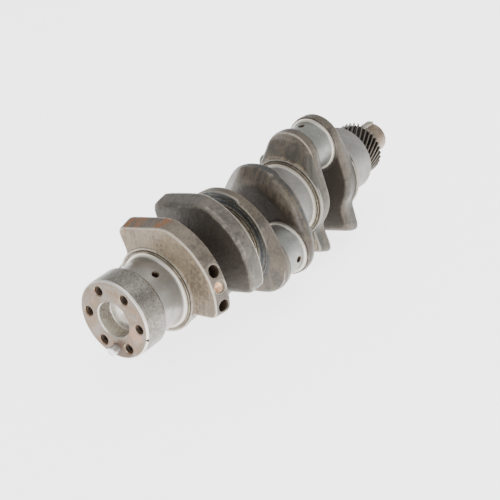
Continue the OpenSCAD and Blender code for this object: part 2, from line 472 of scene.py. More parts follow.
def forged_finish(name, face, face_dark, rim, rim_dark, gap_colour, band_colour, rust_low, wear_and_highlight_amount):
    """Shot-blasted forging skin: its own colour on the journal side and the rim, painted shade on a strip
    round the cheek, dark oil and painted shade on the pin side and inside the rim drillings, and rubbed
    edges painted lighter as a highlight as well. Rust bloom and the polished dimple come from attributes."""
    material, tree, shader = new_finish(name, 0.3, 0.5)
    broad = mottle(tree, 42.0, 0.38, 0.62, 0.7)
    patches = mottle(tree, 120.0, 0.44, 0.62, 0.9)
    speck = mottle(tree, 420.0, 0.46, 0.66, 0.7)
    marks = use_group(tree, "streaks", Low=0.45, High=0.57)
    rust = use_group(tree, "rust", Scale=58.0, Spread=0.3)
    grit = use_group(tree, "grit")
    wear_and_highlight = use_group(tree, "wear_and_highlight", Amount=wear_and_highlight_amount, Break_Up=0.6)
    on_face = attribute(tree, "face")
    light = mix_colour(tree, on_face, rim, face)
    dark = mix_colour(tree, on_face, rim_dark, face_dark)
    colour = mix_colour(tree, broad, light, dark)
    colour = tint(tree, colour, dark, patches, 0.5)
    colour = tint(tree, colour, light, marks["Mask"], 0.65)
    colour = tint(tree, colour, rim_dark, speck, 0.28)
    # Painted shade: a dark strip round the rim, next to the journal-side face.
    band = ragged(tree, attribute(tree, "band"), patches, 0.25)
    colour = mix_colour(tree, step_node(tree, band, 0.25, 0.85), colour, band_colour)
    rust_colour = mix_colour(tree, rust["Tint"], (0.14, 0.055, 0.02), (0.34, 0.145, 0.052))
    bloom = step_node(tree, ragged(tree, attribute(tree, "bloom"), patches, 0.7, 0.6), 0.3, 0.9)
    rusty = larger(tree, times(tree, rust["Mask"], rust_low), times(tree, bloom, 0.7))
    colour = mix_colour(tree, rusty, colour, rust_colour)
    # Rubbed edges, painted lighter as a highlight as well.
    colour = mix_colour(tree, wear_and_highlight["Mask"], colour, (0.56, 0.51, 0.43))
    # Pin side: dark oil and painted shade, where the web faces its crankpin and the next web.
    gap = step_node(tree, ragged(tree, attribute(tree, "gap"), patches, 0.5), 0.2, 0.9)
    oiled_and_shaded = tint(tree, gap_colour, dark, broad, 0.5)
    colour = mix_colour(tree, gap, colour, oiled_and_shaded)
    # Rim drillings: dark oil and painted shade inside.
    colour = mix_colour(tree, attribute(tree, "hole"), colour, (0.055, 0.038, 0.026))
    dimple = attribute(tree, "dimple")
    colour = mix_colour(tree, dimple, colour, (0.66, 0.42, 0.25))
    metal = plus(tree, 0.3, times(tree, larger(tree, wear_and_highlight["Mask"], dimple), 0.55), clamp=True)
    rough = plus(tree, 0.46, times(tree, rusty, 0.3))
    rough = minus(tree, rough, times(tree, broad, 0.1), clamp=True)
    paint(tree, shader, colour, rough, metal)
    bump(tree, shader, grit["Height"], 0.00035, 0.7)
    return material


def flange_finish():
    """Turned flange: straw to brown stain on the face, a dark brown patch beside the dowel, a rubbed rim
    painted bright all round as a highlight.
    """
    material, tree, shader = new_finish("flange_face_steel", 0.6, 0.42)
    rings = use_group(tree, "turning", Fineness=3200.0)
    cloud = mottle(tree, 48.0, 0.38, 0.62, 0.7)
    straw = mottle(tree, 85.0, 0.44, 0.58, 1.0)
    speck = mottle(tree, 640.0, 0.46, 0.60, 0.6)
    rust = use_group(tree, "rust", Scale=105.0, Spread=0.5)
    # A dark brown patch beside the dowel.
    dowel_patch = spot_mask(tree, on_circle(0, 256, BOLT_CIRCLE_R + 1) * MM, 0.0125, 0.8)
    bloom = spot_mask(tree, on_circle(0, 196, BOLT_CIRCLE_R - 3) * MM, 0.009, 1.3)
    face = attribute(tree, "face")
    skin = mix_colour(tree, cloud, (0.25, 0.236, 0.21), (0.17, 0.158, 0.137))
    skin = tint(tree, skin, (0.085, 0.07, 0.05), speck, 0.6)
    tan = mix_colour(tree, straw, (0.225, 0.195, 0.165), (0.20, 0.135, 0.088))
    tan = tint(tree, tan, (0.16, 0.135, 0.11), cloud, 0.45)
    colour = mix_colour(tree, face, skin, tan)
    orange = larger(tree, times(tree, rust["Mask"], 0.35), times(tree, bloom, 0.55))
    orange = times(tree, orange, face)
    colour = mix_colour(tree, orange, colour, (0.40, 0.20, 0.11))
    dark_patch = times(tree, dowel_patch, times(tree, face, 0.9))
    dark_patch_colour = mix_colour(tree, rust["Tint"], (0.02, 0.010, 0.005), (0.12, 0.058, 0.026))
    colour = mix_colour(tree, dark_patch, colour, dark_patch_colour)
    # Rubbed rim, also painted light all round as a highlight.
    rim = step_node(tree, rings["Radius"], (FLANGE_R - 1.5) * MM, (FLANGE_R - 1.0) * MM)
    rim = times(tree, rim, attribute(tree, "front"))
    colour = tint(tree, colour, (0.74, 0.70, 0.63), rim, 0.85)
    rough = plus(tree, 0.36, times(tree, larger(tree, orange, face), 0.16))
    metal = minus(tree, 0.75, times(tree, larger(tree, dark_patch, orange), 0.65), clamp=True)
    paint(tree, shader, colour, rough, metal)
    bump(tree, shader, rings["Height"], 0.00004, 0.4)
    return material


def turned_finish(name, colour_a, colour_b, stain, roughness, stain_amount):
    """Turned steel with tool rings and a patchy stain, for collars and the nose."""
    material, tree, shader = new_finish(name, 0.85, roughness)
    rings = use_group(tree, "turning", Fineness=2400.0)
    lines = use_group(tree, "grinding", Fineness=0.6)
    cloud = mottle(tree, 60.0, 0.36, 0.64, 0.6)
    patches = mottle(tree, 130.0, 0.46, 0.64, 0.8)
    colour = mix_colour(tree, cloud, colour_a, colour_b)
    colour = tint(tree, colour, stain, patches, stain_amount)
    rough = plus(tree, roughness - 0.05, times(tree, patches, 0.18))
    paint(tree, shader, colour, rough)
    bump(tree, shader, plus(tree, rings["Height"], lines["Height"]), 0.00004, 0.3)
    return material


def gear_finish():
    """Oil-blackened gear with rubbed tooth tips, painted near-black as shade down between the teeth."""
    material, tree, shader = new_finish("oiled_gear_steel", 0.6, 0.4)
    cloud = mottle(tree, 150.0, 0.4, 0.62, 0.7)
    rings = use_group(tree, "turning", Fineness=1.0)
    tip = step_node(tree, rings["Radius"], (GEAR_R - 1.1) * MM, (GEAR_R - 0.1) * MM)
    # Painted shade: near-black down between the teeth, towards their roots.
    root = step_node(tree, rings["Radius"], (GEAR_R - 2.7) * MM, (GEAR_R - 1.0) * MM)
    colour = mix_colour(tree, cloud, (0.035, 0.028, 0.022), (0.075, 0.06, 0.045))
    colour = mix_colour(tree, root, (0.012, 0.010, 0.009), colour)
    colour = tint(tree, colour, (0.17, 0.148, 0.12), tip, 0.6)
    rough = plus(tree, 0.32, times(tree, cloud, 0.2))
    paint(tree, shader, colour, rough)
    grit = use_group(tree, "grit")
    bump(tree, shader, grit["Height"], 0.0001, 0.3)
    return material


def hole_oil_and_shade_finish():
    """Old oil and scale down inside drillings, with painted shade: their walls are made near-black."""
    material, tree, shader = new_finish("oily_shaded_hole", 0.3, 0.45)
    cloud = mottle(tree, 260.0, 0.4, 0.62, 0.7)
    # Dark oil and painted shade on the walls of drillings, threads and the rim nick.
    colour = mix_colour(tree, cloud, (0.040, 0.027, 0.018), (0.11, 0.068, 0.04))
    rough = plus(tree, 0.35, times(tree, cloud, 0.3))
    paint(tree, shader, colour, rough)
    return material


OILY_SHADED_HOLE = hole_oil_and_shade_finish()
JOURNAL = ground_finish("ground_journal_steel", (0.39, 0.38, 0.36), (0.29, 0.28, 0.26),
                        (0.24, 0.21, 0.16), 0.38, 0.9, 0)
MATTE = ground_finish("matte_journal_steel", (0.27, 0.262, 0.245), (0.215, 0.208, 0.193),
                      (0.175, 0.155, 0.12), 0.5, 0.65, 40)
PIN = ground_finish("ground_pin_steel", (0.28, 0.28, 0.262), (0.21, 0.212, 0.195),
                    (0.175, 0.165, 0.13), 0.4, 0.8, 20)
COLLAR = turned_finish("turned_collar_steel", (0.24, 0.205, 0.155), (0.14, 0.12, 0.09),
                       (0.10, 0.082, 0.06), 0.42, 0.5)
BORE = turned_finish("bright_bore_steel", (0.50, 0.47, 0.42), (0.47, 0.44, 0.39),
                     (0.42, 0.38, 0.32), 0.3, 0.1)
RING = turned_finish("rusty_countersink", (0.36, 0.29, 0.22), (0.20, 0.13, 0.085),
                     (0.22, 0.12, 0.07), 0.5, 0.5)
FLANGE = flange_finish()
DOWEL = turned_finish("ground_dowel_steel", (0.80, 0.80, 0.80), (0.66, 0.66, 0.66),
                      (0.50, 0.46, 0.40), 0.26, 0.2)
NOSE = turned_finish("stained_nose_steel", (0.34, 0.28, 0.21), (0.23, 0.185, 0.14),
                     (0.17, 0.115, 0.07), 0.44, 0.6)
KEY = turned_finish("key_steel", (0.40, 0.36, 0.30), (0.28, 0.25, 0.20),
                    (0.17, 0.12, 0.08), 0.42, 0.5)
GEAR = gear_finish()
WEB_TAN = forged_finish("forged_tan_skin", (0.25, 0.195, 0.13), (0.11, 0.082, 0.055),
                        (0.14, 0.112, 0.083), (0.066, 0.054, 0.042), (0.042, 0.031, 0.023),
                        (0.12, 0.10, 0.075), 0.35, 0.6)
WEB_GREY = forged_finish("forged_grey_skin", (0.13, 0.112, 0.09), (0.07, 0.06, 0.048),
                         (0.125, 0.108, 0.088), (0.060, 0.053, 0.044), (0.042, 0.032, 0.024),
                         (0.12, 0.10, 0.08), 0.2, 0.85)
WEB_OILY = forged_finish("forged_oily_skin", (0.050, 0.058, 0.060), (0.024, 0.027, 0.027),
                         (0.105, 0.083, 0.058), (0.044, 0.037, 0.029), (0.040, 0.030, 0.023),
                         (0.032, 0.033, 0.032), 0.2, 0.35)
WEB_OLIVE = forged_finish("forged_olive_skin", (0.33, 0.27, 0.175), (0.13, 0.10, 0.066),
                          (0.105, 0.086, 0.062), (0.050, 0.043, 0.034), (0.042, 0.032, 0.024),
                          (0.050, 0.046, 0.037), 0.2, 0.4)


# ---------------------------------------------------------------- mesh helpers

def new_piece(name, vertices, faces, materials):
    """A mesh piece from points in millimetres."""
    mesh = bpy.data.meshes.new(name)
    mesh.from_pydata([tuple(v) for v in np.asarray(vertices, float) * MM], [], [tuple(f) for f in faces])
    for material in materials:
        mesh.materials.append(material)
    piece = bpy.data.objects.new(name, mesh)
    bpy.context.scene.collection.objects.link(piece)
    mesh.shade_smooth()
    return piece


def finish_piece(piece, material_slot, *nodes):
    """Puts a piece on the body, in place of its CAD nodes."""
    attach(piece, "root")
    if nodes:
        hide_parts(*nodes)


def add_attributes(piece, **values):
    """Numbers per point of a piece, for its material to read."""
    for label, numbers in values.items():
        layer = piece.data.attributes.new(label, "FLOAT", "POINT")
        layer.data.foreach_set("value", numbers.astype(np.float32))


def sharpen(piece, degrees=32):
    """Smooth shading that breaks where faces meet at more than the given angle."""
    mesh = piece.data
    work = bmesh.new()
    work.from_mesh(mesh)
    bmesh.ops.remove_doubles(work, verts=work.verts, dist=1e-7)
    bmesh.ops.recalc_face_normals(work, faces=work.faces)
    for face in work.faces:
        face.smooth = True
    for edge in work.edges:
        if len(edge.link_faces) == 2:
            edge.smooth = edge.calc_face_angle(0) < math.radians(degrees)
    work.to_mesh(mesh)
    work.free()
    mesh.update()


def arc(cx, cr, radius, start, end, steps=7):
    """Points of a fillet in the (x, r) drawing of a turned piece."""
    return [(cx + radius * math.cos(math.radians(start + (end - start) * i / steps)),
             cr + radius * math.sin(math.radians(start + (end - start) * i / steps)))
            for i in range(steps + 1)]


def turned_mesh(profile, y=0.0, z=0.0, segments=160):
    """Vertices and faces of a closed turned solid; the profile runs from axis to axis as (x, r)."""
    vertices, faces = [], []
    rings = []
    for x, r in profile:
        if r < 1e-6:
            rings.append([len(vertices)])
            vertices.append((x, y, z))
        else:
            rings.append(list(range(len(vertices), len(vertices) + segments)))
            vertices += [(x, y + r * math.cos(2 * math.pi * i / segments),
                          z + r * math.sin(2 * math.pi * i / segments)) for i in range(segments)]
    for a, b in zip(rings, rings[1:]):
        for i in range(segments):
            j = (i + 1) % segments
            if len(a) == 1:
                faces.append((a[0], b[j], b[i]))
            elif len(b) == 1:
                faces.append((a[i], a[j], b[0]))
            else:
                faces.append((a[i], a[j], b[j], b[i]))
    return vertices, faces


def turned_piece(name, profile, materials, y=0.0, z=0.0, segments=160):
    vertices, faces = turned_mesh(profile, y, z, segments)
    piece = new_piece(name, vertices, faces, materials)
    sharpen(piece)
    return piece


def bake_modifiers(piece):
    """Replaces a piece's mesh by what its modifiers make of it."""
    shown = piece.evaluated_get(bpy.context.evaluated_depsgraph_get())
    mesh = bpy.data.meshes.new_from_object(shown)
    piece.modifiers.clear()
    old = piece.data
    piece.data = mesh
    bpy.data.meshes.remove(old)


def cut(piece, cutters):
    """Takes closed cutter objects away from a piece, keeping their own finish on the cut walls."""
    for cutter in cutters:
        modifier = piece.modifiers.new("cut", "BOOLEAN")
        modifier.operation = "DIFFERENCE"
        modifier.solver = "EXACT"
        modifier.object = cutter
        for material in cutter.data.materials:
            if material.name not in [m.name for m in piece.data.materials]:
                piece.data.materials.append(material)
        modifier.material_mode = "TRANSFER"
    bake_modifiers(piece)
    for cutter in cutters:
        bpy.data.objects.remove(cutter)
    sharpen(piece)


def drill(place, direction, radius, depth, mouth, ring=None):
    """A drill with a flared mouth and a cone tip. place is the mouth's centre, direction points in."""
    segments = 48
    profile = [(-3.0, 0), (-3.0, radius + mouth), (0.0, radius + mouth), (mouth, radius),
               (depth, radius), (depth + 0.55 * radius, 0)]
    vertices, faces = turned_mesh(profile, segments=segments)
    toward = Vector(direction).normalized()
    turn = Vector((1, 0, 0)).rotation_difference(toward).to_matrix()
    placed = [Vector(place) + turn @ Vector(v) for v in vertices]
    # Cut walls take the hole finish: dark oil and painted shade.
    cutter = new_piece("drill", placed, faces, [OILY_SHADED_HOLE, ring] if ring else [OILY_SHADED_HOLE])
    if ring:
        for face in cutter.data.polygons[2 * segments:3 * segments]:
            face.material_index = 1
    sharpen(cutter)
    return cutter


def smooth_min(a, b, k):
    h = np.clip(0.5 + 0.5 * (b - a) / k, 0, 1)
    return b + (a - b) * h - k * h * (1 - h)


def smooth_max(a, b, k):
    return -smooth_min(-a, -b, k)


def skin_mesh(shape, low, high, pitch):
    """Closed skin of the space where shape(points) is negative, as points and four-sided faces."""
    axes = [np.arange(lo - 2 * pitch, hi + 3 * pitch, pitch) for lo, hi in zip(low, high)]
    grid = np.stack(np.meshgrid(*axes, indexing="ij"), -1)
    size = grid.shape[:3]
    value = shape(grid.reshape(-1, 3)).reshape(size)
    inside = value < 0
    corner = [(i, j, k) for i in (0, 1) for j in (0, 1) for k in (0, 1)]

    def part(array, offset):
        return array[tuple(slice(o, n - 1 + o) for o, n in zip(offset, size))]

    count = sum(part(inside, c).astype(int) for c in corner)
    cells = (count > 0) & (count < 8)
    number = -np.ones(cells.shape, int)
    number[cells] = np.arange(cells.sum())
    total, hits = np.zeros((cells.sum(), 3)), np.zeros(cells.sum())
    for first in corner:
        for axis in range(3):
            if first[axis]:
                continue
            second = tuple(1 if n == axis else first[n] for n in range(3))
            a, b = part(value, first)[cells], part(value, second)[cells]
            crossed = (a < 0) != (b < 0)
            share = np.where(crossed, a / np.where(crossed, a - b, 1), 0)[:, None]
            point = part(grid, first)[cells] * (1 - share) + part(grid, second)[cells] * share
            total += point * crossed[:, None]
            hits += crossed
    points = total / hits[:, None]
    step = 0.02
    for _ in range(4):
        here = shape(points)
        rise = [shape(points + shift) - shape(points - shift) for shift in np.eye(3) * step]
        slope = np.stack(rise, 1) / (2 * step)
        move = here[:, None] * slope / np.maximum((slope ** 2).sum(1), 0.1)[:, None]
        length = np.linalg.norm(move, axis=1)[:, None]
        points -= move * np.minimum(1, 0.5 * pitch / np.maximum(length, 1e-9))
    faces = []
    for axis in range(3):
        b, c = (axis + 1) % 3, (axis + 2) % 3
        low_slice = [slice(1, n - 1) for n in size]
        low_slice[axis] = slice(0, size[axis] - 1)
        high_slice = list(low_slice)
        high_slice[axis] = slice(1, size[axis])
        first, second = inside[tuple(low_slice)], inside[tuple(high_slice)]
        where = np.argwhere(first != second)
        leaving = first[tuple(where.T)]
        where = where + np.array([0 if n == axis else 1 for n in range(3)])
        back_b, back_c = np.eye(3, dtype=int)[b], np.eye(3, dtype=int)[c]
        ring = [where - back_b - back_c, where - back_c, where, where - back_b]
        quad = np.stack([number[tuple(r.T)] for r in ring], 1)
        faces.append(np.where(leaving[:, None], quad, quad[:, ::-1]))
    return points, np.concatenate(faces)


def along_and_across(points, angle):
    a = math.radians(angle)
    y, z = points[:, 1], points[:, 2]
    return y * math.cos(a) + z * math.sin(a), -y * math.sin(a) + z * math.cos(a)


def near_line(points, x, angle):
    """How far out along the angle points lie, and how far from the line that leaves the axis at x."""
    out, side = along_and_across(points, angle)
    return out, np.hypot(points[:, 0] - x, side)


def two_lobes(along, across, hub, lobe, reach):
    """Distance to the smooth outline round a hub circle and a lobe circle at the given reach."""
    lean = (hub - lobe) / reach
    rise = np.sqrt(1 - lean ** 2)
    side = np.abs(across)
    mark = -lean * side + rise * along
    near_hub = np.hypot(side, along) - hub
    near_lobe = np.hypot(side, along - reach) - lobe
    flank = side * rise + along * lean - hub
    return np.where(mark < 0, near_hub, np.where(mark > rise * reach, near_lobe, flank))


CHEEK_R, MIDDLE_CHEEK_R, PIN_LOBE_R = 37.6, 46.2, 27
MIDDLE_RIM_R = 48.3                        # webs 3 and 4
PAD_R = 26.2                               # machined ring beside the crankpin
BOSS_R = 38.6                              # raised ring round the thrust collar
WAIST = 34.3                               # half width of the counterweight where it leaves the cheek
# Web 1's rim: place along the axis and angle of its two drillings and of its polished dimple.
RIM_HOLES = ((63.5, 151), (63.0, 179))
RIM_HOLE_R = 5.3
DIMPLE = (62.0, 163.5)
RUST_SPOTS = ((70, 60, 6.5), (96, 62.5, 6.5), (61, 58.5, 4))     # angle, radius, reach

# Each counterweight: rim radius and its growth per mm from the journal side, distance of the flat
# at its first end and that flat's growth, and how much wider its waist is. Its sides spread at 52
# degrees from its middle line.
FANS = {1: (62.7, 0.16, 56.2, 0.24, 0.0), 2: (64.8, 0.04, 61.0, -0.23, 4.0),
        5: (62.7, 0.16, 54.0, 0.45, 0.0), 6: (62.7, 0.16, 61.0, -0.44, 4.0)}


def web_shape(number):
    """The forged web as a distance function of points in millimetres."""
    throw = (number + 1) // 2
    low, high = extent("web_%d" % number)
    odd = number % 2 == 1                  # its journal side faces the flange
    start = low.x if odd else high.x
    pin_angle, fan_angle = PIN_ANGLES[throw], FAN_ANGLES[number]
    centre = middle_of("crankpin_%d" % throw)
    middle = number in (3, 4)

    def depth(points):
        return (points[:, 0] - start) * (1 if odd else -1)

    def outer_body(w, r, u, v, cheek):
        rim_at, rim_grow, flat_at, flat_grow, wide = FANS[number]
        rim = r - (rim_at + rim_grow * w)
        flank = -0.787 * (u - 5.1) + 0.616 * (np.abs(v) - WAIST - wide * np.clip(1.35 - u / 16, 0, 1))
        flat = (u - v) * 0.7071 - (flat_at + flat_grow * w)
        fan = smooth_max(smooth_max(rim, flat, 4.0), flank, 7.0)
        return smooth_min(cheek, fan, 6.0)

    def middle_body(w, r, u, along, cheek):
        square = smooth_max(r - MIDDLE_RIM_R, 6 - u, 5.0)
        body = smooth_min(cheek, square, 3.0)
        fade = 0.0078 * np.maximum(along, 0) ** 2
        slope = 0.588 * (r - MIDDLE_RIM_R - fade) + 0.809 * (w - 9.6)
        body = smooth_max(body, slope, 2.5)
        return smooth_max(body, (u - 44.7 + 0.82 * (w - 3)) * 0.773, 3.0)

    def shape(points):
        w = depth(points)
        r = np.hypot(points[:, 1], points[:, 2])
        draft = 0.08 * np.abs(w - 12)
        along, across = along_and_across(points, pin_angle)
        u, v = along_and_across(points, fan_angle)
        hub = MIDDLE_CHEEK_R if middle else CHEEK_R
        cheek = two_lobes(along, across, hub - draft * 0.5, PIN_LOBE_R - draft, THROW)
        slope_from = 46.5 if middle else 39.0
        bevel = ((r - slope_from) * 0.5 - w) / 1.118
        cheek = smooth_max(cheek, bevel, 5.0)
        body = middle_body(w, r, u, along, cheek) if middle else outer_body(w, r, u, v, cheek)
        body = smooth_max(body, -w, 1.2)
        body = smooth_max(body, w - (WEB_T - 0.7), 5.0)
        near_pin = np.hypot(points[:, 1] - centre.y, points[:, 2] - centre.z)
        pad = smooth_max(near_pin - PAD_R, np.maximum(w - WEB_T, 8 - w), 0.8)
        body = smooth_min(body, pad, 0.8)
        boss = np.maximum(np.maximum(r - BOSS_R, COLLAR_R + 0.05 - r), np.maximum(-0.9 - w, w - 3))
        body = smooth_min(body, boss, 0.9)
        if middle:
            groove = np.hypot(r - 43.2, w * 0.9) - 0.75
            body = smooth_max(body, -groove, 0.5)
        if number == 1:
            for x, angle in RIM_HOLES:
                out, away = near_line(points, x, angle)
                hole = smooth_max(away - RIM_HOLE_R, 50.5 - out + 0.55 * away, 0.5)
                body = smooth_max(body, -hole, 0.7)
            out, away = near_line(points, *DIMPLE)
            dimple = (away - (out - 59.4) * 1.25) * 0.62
            body = smooth_max(body, -dimple, 0.6)
        return body

    return shape, depth


def forge_web(number, material):
    name = "web_%d" % number
    low, high = extent(name)
    shape, depth = web_shape(number)
    margin = Vector((1.2, 2.0, 2.0))
    pitch = 0.95
    points, faces = skin_mesh(shape, low - margin, high + margin, pitch)
    piece = new_piece("forged_" + name, points, faces, [material])
    reach = 1.6                            # mm over which the edges are felt
    curve = sum(shape(points + shift) + shape(points - shift) for shift in np.eye(3) * reach)
    curve = (curve - 6 * shape(points)) / reach ** 2
    edge = np.clip(curve * 1.6, 0, 1)
    w = depth(points)
    # Pin-side mask for the dark oil and painted shade.
    gap = np.clip((w - (WEB_T - 1.9)) / 1.1, 0, 1)
    r = np.hypot(points[:, 1], points[:, 2])
    face = np.clip(1 - np.abs(w) / 1.2, 0, 1)
    hole, dimple, bloom, band = np.zeros((4, len(points)))
    if number == 1:
        for x, angle in RIM_HOLES:
            out, away = near_line(points, x, angle)
            # Inside each rim drilling: the mask for its dark oil and painted shade.
            near = (away < RIM_HOLE_R + 0.3) & (out > 0) & (r < 62.9)
            hole = np.maximum(hole, near * np.clip((63.2 - r) / 1.5, 0, 1))
            edge = edge * np.where((away < 7.6) & (out > 0), 0.45, 1.0)
        out, away = near_line(points, *DIMPLE)
        dimple = (away < 4.4) * (out > 0) * np.clip((r - 56) / 3, 0, 1)
        for angle, radius, reach in RUST_SPOTS:
            spot = on_circle(0, angle, radius)
            near = np.hypot(points[:, 1] - spot.y, points[:, 2] - spot.z) / reach
            bloom = np.maximum(bloom, np.exp(-near ** 2) * np.clip(r - 54, 0, 1))
    # Painted shade on the rim of webs 4, 5 and 6, next to the journal-side face.
    if number == 4:
        band = np.clip((r - 45.2) / 0.8, 0, 1) * np.clip((9 - w) / 3, 0, 1) * 0.8
    if number in (5, 6):
        inward = np.array((2.5 if number == 5 else -2.5, 0, 0))
        inside = -shape(points + inward)
        band = np.clip(1.6 - inside / 2.0, 0, 1) * np.clip((9 - w) / 4, 0, 1)
    add_attributes(piece, edge=edge, gap=gap, hole=hole, face=face, dimple=dimple, bloom=bloom, band=band)
    slot = "forged_dark" if number in (3, 4) else "forged_skin"
    finish_piece(piece, slot, name)


# ---------------------------------------------------------------- turned and ground pieces

def fillet_start(x, r, radius):
    """Fillet from a face at x down to the shaft at radius r."""
    return arc(x + radius, r + radius, radius, 180, 270)


def fillet_end(x, r, radius):
    return arc(x - radius, r + radius, radius, 270, 360)


def make_journal(number, oil_angle):
    name = "main_journal_%d" % number
    low, high = extent(name)
    profile = [(low.x, 0)] + fillet_start(low.x, JOURNAL_R, JOURNAL_FILLET)
    if number == 4:
        profile += [(high.x - 1.3, JOURNAL_R), (high.x, JOURNAL_R - 1.3)]
    else:
        profile += fillet_end(high.x, JOURNAL_R, JOURNAL_FILLET)
    profile += [(high.x, 0)]
    piece = turned_piece("ground_" + name, profile, [MATTE if number > 2 else JOURNAL], segments=192)
    x = (low.x + high.x) / 2
    inward = on_circle(0, oil_angle, -1)
    cut(piece, [drill(on_circle(x, oil_angle, JOURNAL_R), inward, OIL_HOLE_R, 12, 0.9)])
    finish_piece(piece, "ground_journal", name)


def make_crankpin(number, oil_angle, oil_shift):
    name = "crankpin_%d" % number
    low, high = extent(name)
    centre = middle_of(name)
    profile = [(low.x, 0)] + fillet_start(low.x, PIN_R, PIN_FILLET)
    profile += fillet_end(high.x, PIN_R, PIN_FILLET) + [(high.x, 0)]
    piece = turned_piece("ground_" + name, profile, [PIN], centre.y, centre.z, 160)
    inward = on_circle(0, oil_angle, -1)
    place = on_circle(centre.x + oil_shift, oil_angle, PIN_R, (centre.y, centre.z))
    cut(piece, [drill(place, inward, PIN_OIL_HOLE_R, 10, 0.9)])
    finish_piece(piece, "ground_pin", name)


def make_collar(number):
    name = "thrust_collar_%d" % number
    low, high = extent(name)
    chamfer = 0.5
    profile = [(low.x, 0), (low.x, COLLAR_R - chamfer), (low.x + chamfer, COLLAR_R),
               (high.x - chamfer, COLLAR_R), (high.x, COLLAR_R - chamfer), (high.x, 0)]
    piece = turned_piece("turned_" + name, profile, [COLLAR], segments=192)
    finish_piece(piece, "machined_collar", name)


def make_flange():
    name = "output_flange"
    back = extent(name)[1].x
    profile = [(0.0, 0), (0.0, FLANGE_R - 1.8), (0.3, FLANGE_R - 1.0), (0.9, FLANGE_R - 0.3)]
    profile += [(x, FLANGE_R) for x in (1.8, 2.5, 4.0)]
    profile += arc(back - 2, FLANGE_R - 2, 2, 90, 0) + [(back, 0)]
    piece = turned_piece("turned_flange", profile, [FLANGE], segments=192)
    inward = (1, 0, 0)
    cutters = [drill(on_circle(0, angle, BOLT_CIRCLE_R), inward, BOLT_R, 19, 0.9, RING)
               for angle in range(0, 360, 60)]
    cutters.append(drill(on_circle(0, DOWEL_ANGLE, BOLT_CIRCLE_R), inward, DOWEL_R, 12, 0.35))
    pilot = [(-3, 0), (-3, PILOT_R + 1.0), (0, PILOT_R + 1.0), (1.0, PILOT_R), (PILOT_DEPTH - 1.5, PILOT_R)]
    pilot += arc(PILOT_DEPTH - 1.5, PILOT_R - 1.5, 1.5, 90, 0, 4)[1:]
    pilot += [(PILOT_DEPTH + 0.01, 9.0), (PILOT_DEPTH + 3.5, 3.0), (PILOT_DEPTH + 8, 3.0)]
    pilot.append((PILOT_DEPTH + 8, 0))
    cutters.append(turned_piece("bore_tool", pilot, [BORE], segments=128))
    # The nick's walls take the hole finish: dark oil and painted shade.
    nick = new_piece("nick_tool", [on_circle(x, 193, FLANGE_R - 2.0 + up) + on_circle(0, 283, side)
                                   for x in (-1.0, 2.2) for up, side in ((0, 0), (4, -3), (4, 3))],
                     [(0, 1, 2), (3, 5, 4), (0, 3, 4, 1), (1, 4, 5, 2), (2, 5, 3, 0)], [OILY_SHADED_HOLE])
    sharpen(nick)
    cutters.append(nick)
    cut(piece, cutters)
    points = np.array([v.co for v in piece.data.vertices]) / MM
    add_attributes(piece, face=points[:, 0] < 0.3, front=points[:, 0] < 2.0)
    finish_piece(piece, "flange_face", name)


def make_dowel():
    low, high = extent("flange_dowel")
    r = radius_of("flange_dowel")
    centre = middle_of("flange_dowel")
    profile = [(low.x, 0), (low.x, r - 1.2)] + arc(low.x + 1.2, r - 1.2, 1.2, 180, 90, 4)[1:] + [
        (high.x - 0.8, r), (high.x, r - 0.8), (high.x, 0)]
    piece = turned_piece("bright_dowel", profile, [DOWEL], centre.y, centre.z, 64)
    finish_piece(piece, "dowel_steel", "flange_dowel")


def make_nose():
    low, high = extent("nose_shaft")
    seat_end = extent("crank_gear")[1].x
    profile = [(low.x, 0), (low.x, SEAT_R), (seat_end - 0.6, SEAT_R), (seat_end, SEAT_R - 0.6),
               (seat_end, NOSE_R + 0.8)] + arc(seat_end + 0.8, NOSE_R + 0.8, 0.8, 180, 270, 3)[1:] + [
        (high.x - 1.5, NOSE_R), (high.x, NOSE_R - 1.5), (high.x, 0)]
    piece = turned_piece("turned_nose", profile, [NOSE], segments=144)
    key_low, key_high = extent("nose_key")
    seat = key_block("key_seat_tool", key_low.x, key_high.x, NOSE_R + 8, NOSE)
    centre_drill = drill((high.x, 0, 0), (-1, 0, 0), 5.1, 26, 1.3)
    cut(piece, [seat, centre_drill])
    finish_piece(piece, "nose_steel", "nose_shaft")


def key_block(name, x0, x1, top, material):
    """A key or its seat, square to the shaft and turned to the key's angle."""
    a = math.radians(KEY_ANGLE)
    out, side = Vector((0, math.cos(a), math.sin(a))), Vector((0, -math.sin(a), math.cos(a)))
    corners = [Vector((x, 0, 0)) + out * r + side * s
               for x in (x0, x1) for r in (KEY_BOTTOM, top) for s in (-KEY_HALF, KEY_HALF)]
    faces = [(0, 1, 3, 2), (4, 6, 7, 5), (0, 4, 5, 1), (2, 3, 7, 6), (0, 2, 6, 4), (1, 5, 7, 3)]
    piece = new_piece(name, corners, faces, [material])
    sharpen(piece)
    return piece


def make_key():
    low, high = extent("nose_key")
    piece = key_block("nose_drive_key", low.x, high.x, KEY_TOP, KEY)
    work = bmesh.new()
    work.from_mesh(piece.data)
    bmesh.ops.bevel(work, geom=work.edges[:], offset=0.5 * MM, segments=2, affect="EDGES",
                    clamp_overlap=True)
    work.to_mesh(piece.data)
    work.free()
    sharpen(piece, 40)
    finish_piece(piece, "key_steel", "nose_key")


# ---------------------------------------------------------------- repeated shapes by Geometry Nodes

def socket_id(tree, label):
    for item in tree.interface.items_tree:
        if item.item_type == "SOCKET" and item.in_out == "INPUT" and item.name == label:
            return item.identifier
    raise KeyError(label)


